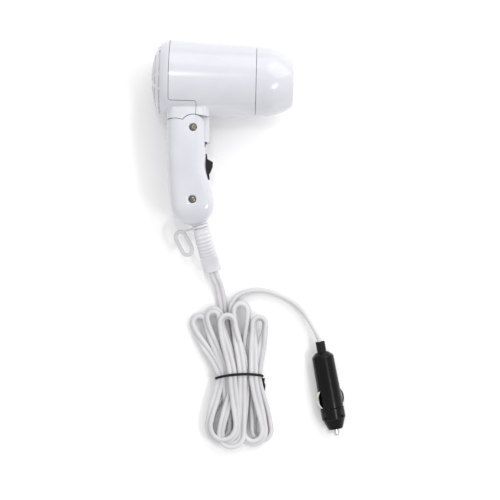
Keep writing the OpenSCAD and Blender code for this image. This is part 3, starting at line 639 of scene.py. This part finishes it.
def arc_points(centre, radius, start, end, count):
    return [(centre[0] + radius * math.cos(math.radians(a)), centre[1] + radius * math.sin(math.radians(a)))
            for a in spread(start, end, count)]


def rounded_box_ring(x0, x1, half, radius, y):
    """A rounded rectangle in X and Z at a height y."""
    ring = []
    for cx, cz, start in ((x1 - radius, half - radius, 0), (x0 + radius, half - radius, 90),
                          (x0 + radius, radius - half, 180), (x1 - radius, radius - half, 270)):
        ring += [(x, y, MID_Z + z) for x, z in arc_points((cx, cz), radius, start, start + 90, 10)]
    return ring


def barrel_core():
    """The barrel's inside, reaching halfway into its wall."""
    return along_barrel("core", dome(1.0) + [(20, barrel_r(20) - 1), (20, 0)])


def bracket():
    """The bracket's hollow wall under the barrel, cut clear of the handle's head."""
    x0, x1, wall, radius = -46.4, -10.0, 2.2, 6.0
    outer = [rounded_box_ring(x0, x1, GRIP_HALF, radius, y) for y in spread(-12, 32, 22)]
    inner = [rounded_box_ring(x0 + wall, x1 - wall, GRIP_HALF - wall, radius - wall, y)
             for y in (-20, 10, 50)]
    solid = tube_solid("bracket", outer)
    clearance = arc_points(HINGE, BRACKET_GAP, 87.5, 147, 24) + [
        (-60, 9.8), (-60, -30), (HINGE[0] + 30, -30), (HINGE[0] + 30, HINGE[1] + BRACKET_GAP - 3.9),
    ]
    cut(solid, tube_solid("inner", inner), prism("clearance", clearance, *THROUGH),
        disc("hump", HUMP_AT, HUMP_R + 0.5, *THROUGH, 180), barrel_core())
    return solid


def rounded_end(x, inward):
    """The wall's outer edge at one end of a length of barrel, from its side to its flat."""
    return [(x + inward * (LIP - LIP * math.sin(a)), barrel_r(x) - LIP + LIP * math.cos(a))
            for a in spread(0, math.pi / 2, 4)]


def barrel_tube(name, x0, x1):
    """A length of the barrel's wall with its outer edges rounded."""
    outside = rounded_end(x0, 1)[::-1] + rounded_end(x1, -1)
    return along_barrel(name, [(x0, barrel_r(x0) - WALL)] + outside + [(x1, barrel_r(x1) - WALL)])


def seam_step(gap, low):
    """The seam's line at one side of its gap: up the split, along the apron's top and up the rear seam."""
    step, rise = 1.7 - gap, 1.8 + gap
    split, top, rear = SPLIT_X + gap, APRON_Y + gap, X_SEAM + gap
    return ([(split, low)] + arc_points((split - rise, top - rise), rise, 0, 90, 8)
            + arc_points((rear + step, top + step), step, 270, 180, 8))


def make_main_housing(materials):
    shell = barrel_tube("main_shell", X_SEAM + SEAM, X_FRONT - SEAM)
    combine(shell, bracket(), "UNION")
    line = seam_step(SEAM, -20)
    cut(shell, prism("corner", line + [(-60, line[-1][1]), (-60, -20)], -20, 90))
    # The tongue that stands in the handle's head
    low, shoulder = HINGE[1] - 11.5, HINGE[1] + 10.1
    plate = arc_points(HINGE, TONGUE_BACK_R, 152, 270, 40) + [
        (-10.6, low), (-10.6, 24), (SPLIT_X + 0.5, 24), (SPLIT_X + 0.5, shoulder), (HINGE[0] - 8, shoulder),
    ]
    back, front = TONGUE_FRONT
    tongue = prism("tongue", [(back, low), (front, low), (front, 22.5), (back, 22.5)],
                   MID_Z - TONGUE_HALF, MID_Z + TONGUE_HALF)
    for side in (-1, 1):
        z = sorted((MID_Z + side * TONGUE_HALF, MID_Z + side * (TONGUE_HALF - TONGUE_WALL)))
        combine(tongue, prism("plate", plate, *z), "UNION")
    cut(tongue, disc("bore", HINGE, HINGE_BORE_R, *THROUGH, 60), barrel_core())
    combine(shell, tongue, "UNION")
    weigh_normals(shell)
    finish_piece(shell, "barrel", "white_abs", materials, ("main_housing",))


def make_rear_housing(materials):
    x = SPLIT_X + 3
    end = [(x, barrel_r(x)), (x, barrel_r(x) - WALL)]
    shell = along_barrel("rear_shell", dome(0) + end + dome(WALL)[::-1])
    combine(shell, bracket(), "UNION")
    line = seam_step(-SEAM, -20)
    cut(shell, prism("corner", line + [(line[-1][0], 90), (60, 90), (60, -20)], -20, 90))
    spigot = along_barrel("spigot", [(X_SEAM - 2.7, 30.3), (X_SEAM - 2.7, 32.5), (X_SEAM - 1.1, 32.5),
                                     (X_SEAM - 0.9, 31.55), (X_SEAM + 3, 31.55), (X_SEAM + 3, 30.3)], 152)
    combine(shell, spigot, "UNION")
    slots = []
    for r, wide, reach in SLOT_RINGS:
        rib = math.degrees(SLOT_RIB / 2 / r)
        for k in range(5):
            angles = spread(130 + 72 * k + rib, 202 + 72 * k - rib, 18)
            outline = [(r + wide / 2, math.radians(a)) for a in angles]
            outline += [(r - wide / 2, math.radians(a)) for a in angles[::-1]]
            ring = [(AXIS_Y + q * math.sin(a), MID_Z - q * math.cos(a)) for q, a in outline]
            slots.append(tube_solid("slot", [[(end, y, z) for y, z in ring] for end in (-66, reach)]))
    cut(shell, join("slots", slots))
    weigh_normals(shell)
    finish_piece(shell, "barrel", "white_abs", materials, ("rear_housing",))


def make_nozzle(materials):
    x = X_FRONT + SEAM
    r = barrel_r(x)
    rim = [(X_END - 0.55 + 0.55 * math.sin(a), OUTLET_R - 1 + 0.5 * math.cos(a))
           for a in spread(0.3, math.pi / 2, 4)]
    bore = [(X_END - along, BORE_R + out) for along, out in (
        (0.1, 0.4), (0.5, 0.05), (1, 0), (9, 0), (9, 1.6), (4, 1.6))]
    back = [q for q in nozzle(WALL) if q[0] < X_END - 4.4 and q[1] > BORE_R + 2.2][::-1]
    profile = rounded_end(x, 1)[::-1] + nozzle(0)[:-1] + rim + bore + back + [(x, r - WALL)]
    shell = along_barrel("nozzle_shell", profile)
    spigot = along_barrel("spigot", [(X_FRONT - 4, r - 3.8), (X_FRONT - 4, r - 2.6), (X_FRONT - 3.4, r - 2.3),
                                     (X_FRONT + 1, r - 2.3), (X_FRONT + 1, r - 1.7), (X_FRONT + 3, r - 1.7),
                                     (X_FRONT + 3, r - 3.8)])
    combine(shell, spigot, "UNION")
    weigh_normals(shell)
    finish_piece(shell, "barrel", "white_abs", materials, ("front_nozzle",))


def weigh_normals(obj):
    """Keeps large flat faces flat in shading next to small curved ones."""
    for polygon in obj.data.polygons:
        polygon.use_smooth = True
    obj.data.set_sharp_from_angle(angle=math.radians(35))
    tool = obj.modifiers.new("weigh", "WEIGHTED_NORMAL")
    tool.keep_sharp = True
    tool.weight = 80
    apply_modifiers(obj)


# ---- Handle ----

FOOT_Y, FOOT_R, FOOT_X = -61.1, 18.9, -23.1
SHOULDER_Y = 9.3
LOW_SCREW = (-22.9, -57.9)
SCREW_HEAD, SCREW_HOLE, SCREW_SUNK, WELL_DEEP = 2.9, 1.7, 2.1, 2.2
BOSS_R, POST_R = 9.4, 3.6
# Half the gap between the two handle shells
SHELL_GAP = 0.15
SLEEVE_AT, SLEEVE_TURN, RIB_PITCH = (-17.4, -76.5), 16.5, 2.75
SWITCH_AT, SWITCH_TILT = (-11.2, -29.0), 7.7


def grip_deep(y):
    """Half the handle's thickness at a height along it."""
    return GRIP_HALF - 3 * ease((-10 - y) / 55)


def grip_ring(y, inset, sides):
    """The handle's outline across its length: a rounded box that closes to a round foot."""
    if y >= FOOT_Y:
        x0 = -46.7 + 4.7 * ((SHOULDER_Y - y) / (SHOULDER_Y - FOOT_Y)) ** 2 + inset
        x1 = -12.6 + 8.5 * ease((-27 - y) / 36) - inset
        deep, n = grip_deep(y) - inset, 4.5
    else:
        f = math.sqrt(max(0.0006, 1 - ((FOOT_Y - y) / (FOOT_R - inset)) ** 2))
        x0, x1 = FOOT_X - (FOOT_R - inset) * f, FOOT_X + (FOOT_R - inset) * f
        deep, n = (19 - inset) * f ** 0.9, 4.5 - 1.6 * (1 - f)
    ring = []
    for k in range(sides):
        a = 2 * math.pi * k / sides
        ring.append(((x0 + x1) / 2 + (x1 - x0) / 2 * power(math.cos(a), n), y,
                     MID_Z + deep * power(math.sin(a), n)))
    return ring


def grip_loft(name, inset, sides, steps, foot_steps, shift=0.0):
    rings = [grip_ring(y, inset, sides) for y in spread(16, FOOT_Y, steps)]
    for i in range(1, foot_steps + 1):
        a = math.radians(88.6 * i / foot_steps)
        rings.append(grip_ring(FOOT_Y - (FOOT_R - inset) * math.sin(a), inset, sides))
    return tube_solid(name, [[(x, y + shift, z) for x, y, z in ring] for ring in rings])


def disc(name, centre, radius, z0, z1, sides=64):
    """An upright cylinder."""
    return prism(name, arc_points(centre, radius, 0, 360 - 360 / sides, sides - 1), z0, z1)


def make_handle_shells(materials):
    grip = grip_loft("grip", 0, 128, 52, 22)
    head = arc_points(HINGE, HEAD_R, 0, 145.2, 48)
    zone = prism("head", [(-80, -120), (40, -120), (40, HINGE[1])] + head + [(-80, SHOULDER_Y)], -10, 90)
    combine(zone, disc("hump", HUMP_AT, HUMP_R, -10, 90, 180), "UNION")
    combine(grip, zone, "INTERSECT")
    hollow = grip_loft("hollow", 2.4, 48, 24, 8, 0.6)
    cheek = TONGUE_HALF + 0.4
    cut(hollow, disc("boss", HINGE, BOSS_R, -5, MID_Z - cheek),
        disc("boss", HINGE, BOSS_R, MID_Z + cheek, 80), disc("post", LOW_SCREW, POST_R, -5, 90, 32))
    pocket = block("pocket", (-12, 18), (-11.1, 11.1), (-6.3, 6.3),
                   turned_frame((SWITCH_AT[0], SWITCH_AT[1], MID_Z), SWITCH_TILT))
    collar = block("collar", (-7.2, 7.2), (-30, 14), (-6.2, 6.2),
                   turned_frame((SLEEVE_AT[0], SLEEVE_AT[1], MID_Z), SLEEVE_TURN))
    slot = block("slot", (-17, 6), (-12.9, 30), (MID_Z - 15.9, MID_Z + 15.9))
    cut(grip, hollow, slot, pocket, collar)
    for side, z0, z1 in (("upper", MID_Z + SHELL_GAP, 90), ("lower", -10, MID_Z - SHELL_GAP)):
        half = bpy.data.objects.new("handle_" + side, grip.data.copy())
        bpy.context.scene.collection.objects.link(half)
        combine(half, block("side", (-90, 40), (-120, 60), (z0, z1)), "INTERSECT")
        for at in (HINGE, LOW_SCREW):
            top = MID_Z + grip_deep(at[1])
            cut(half, disc("hole", at, SCREW_HOLE, MID_Z - 19, 90, 24))
            if side == "upper":
                well_r = SCREW_HEAD + 0.5
                well = [(-WELL_DEEP, 0), (-WELL_DEEP, well_r), (3, well_r), (3, 0)]
                cut(half, revolved("well", well, (at[0], at[1], top), (0, 0, 1), 64))
        weigh_normals(half)
        finish_piece(half, "handle", "white_abs", materials, ("handle_shell_" + side,))
    bpy.data.objects.remove(grip)


def make_screw(name, at, length, materials, node):
    """A pan head screw with a cross recess."""
    base = MID_Z + grip_deep(at[1]) - SCREW_SUNK
    shank = [(-length, 0), (-length, 1.1), (1.2 - length, 1.5), (0, 1.5)]
    pan = [(up, SCREW_HEAD - inset) for up, inset in (
        (0, 0), (0.5, 0), (0.95, 0.12), (1.25, 0.5), (1.45, 1.3), (1.5, 2.2))]
    screw = revolved(name, shank + pan + [(1.5, 0)], (at[0], at[1], base), (0, 0, 1), 64)
    for k in range(2):
        cross = block("cross", (-1.9, 1.9), (-0.5, 0.5), (0.3, 2.4),
                      Matrix.Translation(Vector((at[0], at[1], base)) * MM)
                      @ Matrix.Rotation(math.radians(28 + 90 * k), 4, "Z"))
        cut(screw, cross)
    finish_piece(screw, "handle", "screw_bronze", materials, (node,), 30)


def make_switch_knob(materials):
    """The sliding thumb piece, with grip ridges on its long slope."""
    place = turned_frame((SWITCH_AT[0], SWITCH_AT[1], MID_Z), SWITCH_TILT)
    outline = [(-4.1, 6.3), (1.1, 6.3), (5.2, 3.4), (4.5, 0.3)]
    for k in range(6):
        t = (k + 0.35) / 6.2
        x, y = mix(4.4, 1.2, t), mix(-0.1, -6.1, t)
        outline += [(x + 0.42, y - 0.02), (x + 0.34, y - 0.42), (x - 0.3, y - 0.62)]
    outline += [(0.95, -6.5), (-4.1, -6.5)]
    knob = prism("switch_thumb", outline, -4, 4)
    round_edges(knob, 0.22, 2, 60)
    combine(knob, block("flange", (-5, -4.05), (-8, 8), (-5.8, 5.8)), "UNION")
    combine(knob, block("stem", (-8.6, -4.6), (-1.6, 1.6), (-1.6, 1.6)), "UNION")
    knob.data.transform(place)
    finish_piece(knob, "switch_slider", "dark_plastic", materials, ("switch_knob",), 40)


# ---- Cord sleeve and hanging loop ----

def in_sleeve_frame(lateral, up, s):
    """A point given across, above and along the sleeve."""
    turn = math.radians(SLEEVE_TURN)
    return (SLEEVE_AT[0] + lateral * math.cos(turn) + s * math.sin(turn),
            SLEEVE_AT[1] + lateral * math.sin(turn) - s * math.cos(turn), MID_Z + up)


def sleeve_drop(s):
    """How far the sleeve has sagged to the surface at a station along it."""
    return -24 * ease((s - 8) / 38)


def sleeve_half(s):
    """Half the sleeve's width and thickness at a station: collar, neck, ribs, smooth end."""
    ridge = (0.5 - 0.5 * math.cos(2 * math.pi * (s - 6) / RIB_PITCH)) ** 0.8
    if s < 3.2:
        e = min(1, (s + 3.8) / 0.5, (3.2 - s) / 0.5)
        return 6.7 + 0.3 * ease(e), 5.7 + 0.3 * ease(e)
    if s < 5.9:
        return 5.2, 5.2
    if s < 28:
        g = (s - 6) / 22
        return 6.2 + 0.5 * g + 0.9 * ridge, 4.8 + 0.1 * g + 0.8 * ridge
    e = max(0.0, min((s - 28) / 1.2, (45 - s) / 1.2, 1))
    e = math.sqrt(e * (2 - e))
    return 6.9 + 0.9 * e, 4.8 + 0.6 * e


def make_sleeve(materials):
    stations = [-3.8, -3.6, -3.3, 0, 2.7, 2.95, 3.19, 3.25, 4.5, 5.85, 6.0] + spread(6.14, 27.95, 159)
    stations += [28.1, 28.3, 28.6, 28.9, 29.2, 32, 35, 38, 41, 43.5, 43.9, 44.3, 44.6, 44.8, 44.9]
    rings = []
    for s in stations:
        half, high = sleeve_half(s)
        lean = math.atan((sleeve_drop(s + 0.1) - sleeve_drop(s - 0.1)) / 0.2)
        n = 2.0 if 3.2 < s < 5.9 else 3.0
        ring = []
        for k in range(48):
            a = 2 * math.pi * k / 48
            p, q = half * power(math.cos(a), n), high * power(math.sin(a), n)
            ring.append(in_sleeve_frame(p, sleeve_drop(s) + q * math.cos(lean), s - q * math.sin(lean)))
        rings.append(ring)
    sleeve = tube_solid("cord_guard", rings)
    return finish_piece(sleeve, "handle", "white_pvc", materials, ("cord_sleeve",), 50)


def make_loop(materials):
    """The moulded hanging loop: a collar round the sleeve's neck, a short arm and an oblong eye."""
    droop = math.radians(35)

    def place(p, s, q):
        """Across the loop, along the sleeve, and through the loop's thickness."""
        across = p * math.cos(droop) + q * math.sin(droop)
        return in_sleeve_frame(across, p * math.sin(droop) - q * math.cos(droop), s)

    width, length, band, thick = 14.5, 25.5, 3.3, 3.0
    line_r, straight = (width - band) / 2, (length - width) / 2
    tilt = math.radians(-17)
    rings = []
    for k in range(72):
        a = 2 * math.pi * k / 72
        p, s = line_r * math.cos(a), line_r * math.sin(a) + (straight if math.sin(a) > 0 else -straight)
        out = Vector((math.cos(a), math.sin(a)))
        ring = []
        for j in range(16):
            b = 2 * math.pi * j / 16
            u, q = band / 2 * power(math.cos(b), 2.8), thick / 2 * power(math.sin(b), 2.8)
            x, y = p + out.x * u, s + out.y * u
            ring.append(place(-22 + x * math.cos(tilt) - y * math.sin(tilt),
                              14.6 + x * math.sin(tilt) + y * math.cos(tilt), q))
        rings.append(ring)
    eye = closed_tube("eye", rings)
    arm_rings = []
    for p in spread(-20.6, -6.6, 10):
        half = 0.9 + 0.3 * ease((p + 9.5) / 2.5)
        arm_rings.append([place(p, 4.55 + half * power(math.cos(b), 3), 1.5 * power(math.sin(b), 3))
                          for b in [2 * math.pi * j / 16 for j in range(16)]])
    arm = tube_solid("arm", arm_rings)
    turn = math.radians(SLEEVE_TURN)
    collar = revolved("collar", rounded_profile([(0, 5.5), (0, 7.4), (2.2, 7.4), (2.2, 5.5)], 0.5),
                      in_sleeve_frame(0, 0, 3.45), (math.sin(turn), -math.cos(turn), 0), 72)
    combine(eye, arm, "UNION")
    combine(eye, collar, "UNION")
    eye.name = "hanging_eye"
    return finish_piece(eye, "loop", "white_pvc", materials, ("hanging_loop",), 50)


def closed_tube(name, rings):
    """A tube through rings of points that closes on itself."""
    sides, count = len(rings[0]), len(rings)
    verts = [p for ring in rings for p in ring]
    faces = [(j * sides + i, j * sides + (i + 1) % sides, (j + 1) % count * sides + (i + 1) % sides,
              (j + 1) % count * sides + i) for j in range(count) for i in range(sides)]
    return add_mesh(name, verts, faces)


# ---- Socket plug ----

PLUG_AT, PLUG_TURN = (90.9, -179.0, 10.5), 11.67
PLUG_R, RING_R, RING_T, NOSE_T, NOSE_END = 10.2, 10.5, 59.4, 69.0, 78.0
LEAF_T, LEAF_ROLL = (42.6, 58.8), -24.0
# A side contact's cross section: across the leaf and out from the plug
LEAF_OUTLINE = (
    (-1.85, 0), (-2, -0.1), (-2, -0.4), (-1.85, -0.5), (1.85, -0.5), (2, -0.4), (2, -0.1), (1.85, 0),
)


def in_plug_frame(lateral, up, t):
    """A point given across, above and along the plug."""
    turn = math.radians(PLUG_TURN)
    return (PLUG_AT[0] + lateral * math.cos(turn) + t * math.sin(turn),
            PLUG_AT[1] + lateral * math.sin(turn) - t * math.cos(turn), PLUG_AT[2] + up)


def along_plug(name, profile, sides=96):
    turn = math.radians(PLUG_TURN)
    return revolved(name, profile, PLUG_AT, (math.sin(turn), -math.cos(turn), 0), sides)


def plug_block(name, lateral, up, t, roll):
    """A box in the plug's frame, turned about the plug's axis."""
    roll = math.radians(roll)
    rings = []
    for station in t:
        ring = []
        for p, q in ((lateral[0], up[0]), (lateral[1], up[0]), (lateral[1], up[1]), (lateral[0], up[1])):
            ring.append(in_plug_frame(p * math.cos(roll) - q * math.sin(roll),
                                      p * math.sin(roll) + q * math.cos(roll), station))
        rings.append(ring)
    return tube_solid(name, rings)


def make_plug(materials):
    pieces = []
    boot = [(0, 0), (0, 3.7), (0.3, 4.0), (1.2, 4.15)]
    for k in range(4):
        t = 2.2 + 1.9 * k
        boot += [(t, 4.15), (t + 0.25, 3.85), (t + 0.65, 3.85), (t + 0.9, 4.15)]
    boot += [(13, 4.15), (13.6, 5.4), (15.5, 5.4), (15.5, 0)]
    pieces.append(finish_piece(along_plug("lead_boot", boot, 64), "handle", "black_rubber",
                               materials, ("plug_boot",), 45))

    shoulder = rounded_profile([(9.5, 4.6), (9.5, 5.6), (12.6, 9.0), (13.8, 9.6), (53.4, PLUG_R),
                                (59.1, PLUG_R), (59.1, 8.4)], 0.5, 5)
    body = along_plug("plug_barrel", [(9.5, 4.3)] + shoulder[1:] + [(14, 8.4), (13, 4.3)])
    for side in (-1, 1):
        across = sorted((side * 7.0, side * 13))
        cut(body, plug_block("leaf_slot", across, (-2.6, 2.6), (42.2, 62), LEAF_ROLL))
    weigh_normals(body)
    pieces.append(finish_piece(body, "handle", "black_gloss", materials, ("plug_body",)))

    outer = rounded_profile([(RING_T, 4.3), (RING_T, RING_R), (68.6, RING_R), (NOSE_T, 9.9), (NOSE_END, 6.3),
                             (NOSE_END, 2.75)], 0.45, 4)
    cap = along_plug("plug_nose", outer + [(73, 2.75), (73, 4.3)])
    for k in range(4):
        cut(cap, plug_block("notch", (RING_R - 0.75, RING_R + 3), (-1.2, 1.2), (NOSE_T - 3, NOSE_T + 3),
                            45 + 90 * k))
    weigh_normals(cap)
    pieces.append(finish_piece(cap, "handle", "black_gloss", materials, ("plug_cap",)))

    tip = [(69.9, 0), (69.9, 4), (72.9, 4), (72.9, 2.7), (81.9, 2.7)]
    tip += [(81.9 + 2.1 * math.sin(a), 1.3 + 1.4 * math.cos(a)) for a in spread(0.15, math.pi / 2, 7)]
    pieces.append(finish_piece(along_plug("centre_contact", tip + [(84, 0)], 48), "plug_contact", "nickel",
                               materials, ("plug_tip",), 40))

    root, bulge, middle = 9.2, 12.9, (LEAF_T[0] + LEAF_T[1]) / 2
    half, bow = (LEAF_T[1] - LEAF_T[0]) / 2, bulge - root
    radius = (half ** 2 + bow ** 2) / (2 * bow)
    reach = math.asin(half / radius)
    roll = math.radians(LEAF_ROLL)
    for side, body_name, node in ((-1, "leaf_left", "contact_left"), (1, "leaf_right", "contact_right")):
        rings = []
        for a in spread(-reach, reach, 32):
            ring = []
            for q, u in LEAF_OUTLINE:
                across = side * (bulge - radius + (radius + u) * math.cos(a))
                ring.append(in_plug_frame(across * math.cos(roll) - q * math.sin(roll),
                                          across * math.sin(roll) + q * math.cos(roll),
                                          middle + (radius + u) * math.sin(a)))
            rings.append(ring)
        leaf = tube_solid("side_" + node, rings)
        pieces.append(finish_piece(leaf, body_name, "nickel", materials, (node,), 40))
    return pieces


# ---- The whole dryer ----

def dress_cad_nodes(materials):
    """Gives every CAD node the material of its slot."""
    for entry in frame["record"]["subparts"]:
        node = frame["nodes"][entry["node"]]
        node.data.materials.clear()
        node.data.materials.append(materials[entry["material_slot"]])


def build():
    make_camera()
    make_stage()
    materials = make_materials()
    lead, lead_line = make_lead(materials)
    tie = make_tie(materials)
    sleeve = make_sleeve(materials)
    loop = make_loop(materials)
    plug = make_plug(materials)
    make_main_housing(materials)
    make_rear_housing(materials)
    make_nozzle(materials)
    make_handle_shells(materials)
    make_screw("hinge_pan_screw", HINGE, 36, materials, "hinge_screw")
    make_screw("handle_pan_screw", LOW_SCREW, 30, materials, "handle_screw")
    make_switch_knob(materials)
    dress_cad_nodes(materials)


build()
